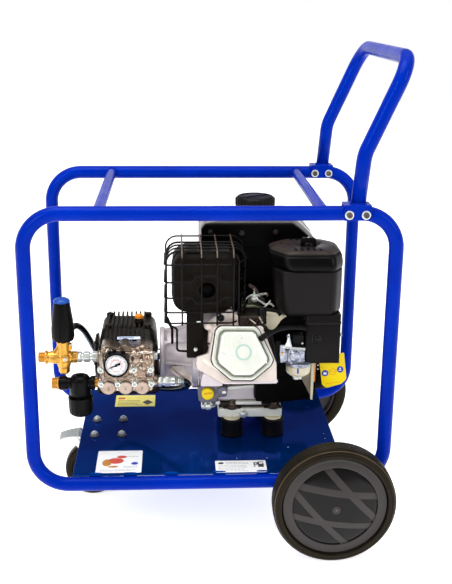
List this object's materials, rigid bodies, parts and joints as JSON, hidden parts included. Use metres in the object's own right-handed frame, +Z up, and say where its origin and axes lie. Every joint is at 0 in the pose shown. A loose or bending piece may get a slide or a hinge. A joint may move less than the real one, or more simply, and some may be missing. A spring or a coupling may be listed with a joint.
{
  "type": "pressure washer",
  "caption": "Petrol pressure washer on a blue tubular cart with push handle, rear wheels, braked caster, engine, triplex plunger pump, unloader, gauge and inlet filter.",
  "frame": {"origin": "centre of the bounding box's bottom face, on the ground the wheels stand on", "axes": "+X from the pump and caster end to the wheel and handle end, +Y away from the rocker cover side, +Z up"},
  "size_m": [0.7458, 0.654, 1.0011],
  "materials": {
    "blue_frame": "gloss powder coat",
    "bright_steel": "zinc plated",
    "tyre_rubber": "matt",
    "black_plastic": "fine grain",
    "cast_aluminium": "as cast",
    "pressed_steel_white": "satin",
    "black_sheet": "satin black",
    "cast_iron": "machined",
    "paper": "pleated paper",
    "yellow_plastic": "gloss",
    "mount_rubber": "matt",
    "black_casting": "painted casting",
    "nickel_brass": "nickel plated brass",
    "brass": "machined"
  },
  "bodies": {
    "frame": {"near_side_loop": "blue_frame", "far_side_loop": "blue_frame", "pump_end_top_bar": "blue_frame", "wheel_end_top_bar": "blue_frame", "base_plate": "blue_frame", "handle": "blue_frame", "rear_axle": "bright_steel", "caster_plate": "bright_steel", "outlet_nipple": "bright_steel", "inlet_fitting": "bright_steel", "air_cleaner_body": "black_plastic", "air_cleaner_cover": "black_plastic", "spark_plug_cap": "black_plastic", "gauge_case": "black_plastic", "filter_head": "black_plastic", "crankcase": "cast_aluminium", "cylinder_head": "cast_aluminium", "drive_housing": "cast_aluminium", "carburetor": "cast_aluminium", "rocker_cover": "pressed_steel_white", "fuel_tank": "pressed_steel_white", "muffler": "black_sheet", "muffler_guard": "black_sheet", "tank_shroud": "black_sheet", "fan_housing": "black_sheet", "recoil_cover": "black_sheet", "air_filter_element": "paper", "near_pump_side_mount": "mount_rubber", "near_wheel_side_mount": "mount_rubber", "far_pump_side_mount": "mount_rubber", "far_wheel_side_mount": "mount_rubber", "bypass_hose": "mount_rubber", "pump_crankcase": "black_casting", "pump_head": "nickel_brass", "unloader_body": "brass"},
    "near_wheel": {"near_tyre": "tyre_rubber", "near_rim": "black_plastic", "near_wheel_cover": "black_plastic"},
    "far_wheel": {"far_tyre": "tyre_rubber", "far_rim": "black_plastic", "far_wheel_cover": "black_plastic"},
    "caster_fork": {"caster_fork": "bright_steel", "caster_axle_bolt": "bright_steel"},
    "caster_wheel": {"caster_tyre": "tyre_rubber", "caster_hub": "black_plastic"},
    "brake_pedal": {"caster_brake_pedal": "bright_steel"},
    "drive_train": {"crankshaft": "bright_steel", "flywheel": "cast_iron", "shaft_coupling": "bright_steel", "pump_shaft": "bright_steel"},
    "unloader_knob": {"unloader_knob": "black_plastic"},
    "gauge_needle": {"gauge_needle": "black_plastic"},
    "fuel_cap": {"fuel_cap": "black_plastic"},
    "air_cleaner_knob": {"air_cleaner_knob": "black_plastic"},
    "oil_dipstick": {"oil_dipstick": "yellow_plastic"},
    "pump_oil_cap": {"pump_oil_cap": "yellow_plastic"},
    "filter_bowl": {"filter_bowl": "black_plastic"},
    "choke_lever": {"choke_lever": "bright_steel"},
    "throttle_lever": {"throttle_lever": "bright_steel"},
    "recoil_handle": {"recoil_handle": "black_plastic"}
  },
  "joints": [
    {"name": "near_wheel_spin", "type": "hinge", "parent": "frame", "child": "near_wheel", "pos_m": [0.24149, -0.291, 0.124], "axis": [0, 1, 0], "continuous": true},
    {"name": "far_wheel_spin", "type": "hinge", "parent": "frame", "child": "far_wheel", "pos_m": [0.24149, 0.291, 0.124], "axis": [0, 1, 0], "continuous": true},
    {"name": "caster_swivel", "type": "hinge", "parent": "frame", "child": "caster_fork", "pos_m": [-0.22381, 0, 0.1395], "axis": [0, 0, 1], "continuous": true},
    {"name": "caster_wheel_spin", "type": "hinge", "parent": "caster_fork", "child": "caster_wheel", "pos_m": [-0.26231, 0, 0.0625], "axis": [0, 1, 0], "continuous": true},
    {"name": "brake_press", "type": "hinge", "parent": "caster_fork", "child": "brake_pedal", "pos_m": [-0.29281, 0, 0.1435], "axis": [0, 1, 0], "range_deg": [-18, 0]},
    {"name": "crankshaft_turn", "type": "hinge", "parent": "frame", "child": "drive_train", "pos_m": [0.09619, 0.032, 0.3225], "axis": [1, 0, 0], "continuous": true},
    {"name": "pressure_adjust", "type": "hinge", "parent": "frame", "child": "unloader_knob", "pos_m": [-0.30881, -0.08, 0.4395], "axis": [0, 0, 1], "range_deg": [-720, 720]},
    {"name": "gauge_reading", "type": "hinge", "parent": "frame", "child": "gauge_needle", "pos_m": [-0.19531, -0.138, 0.3615], "axis": [0, 1, 0], "range_deg": [0, 240]},
    {"name": "fuel_cap_turn", "type": "hinge", "parent": "frame", "child": "fuel_cap", "pos_m": [0.10819, 0.124, 0.6495], "axis": [0, 0, 1], "range_deg": [0, 90]},
    {"name": "air_cleaner_knob_turn", "type": "hinge", "parent": "frame", "child": "air_cleaner_knob", "pos_m": [0.20819, -0.042, 0.5995], "axis": [0, 0, 1], "range_deg": [0, 1440]},
    {"name": "dipstick_turn", "type": "hinge", "parent": "frame", "child": "oil_dipstick", "pos_m": [-0.00331, -0.06, 0.2635], "axis": [0, -1, 0], "range_deg": [0, 720]},
    {"name": "pump_oil_cap_turn", "type": "hinge", "parent": "frame", "child": "pump_oil_cap", "pos_m": [-0.15281, 0.014, 0.4195], "axis": [0, 0, 1], "range_deg": [0, 720]},
    {"name": "filter_bowl_turn", "type": "hinge", "parent": "frame", "child": "filter_bowl", "pos_m": [-0.27581, -0.09, 0.2495], "axis": [0, 0, -1], "range_deg": [0, 720]},
    {"name": "choke", "type": "hinge", "parent": "frame", "child": "choke_lever", "pos_m": [0.17219, -0.118, 0.3715], "axis": [0, 1, 0], "range_deg": [0, 60]},
    {"name": "throttle", "type": "hinge", "parent": "frame", "child": "throttle_lever", "pos_m": [0.10819, -0.06, 0.4755], "axis": [0, 1, 0], "range_deg": [0, 40]},
    {"name": "recoil_pull", "type": "slide", "parent": "frame", "child": "recoil_handle", "axis": [0, 0, 1], "range_m": [0, 0.12]}
  ]
}
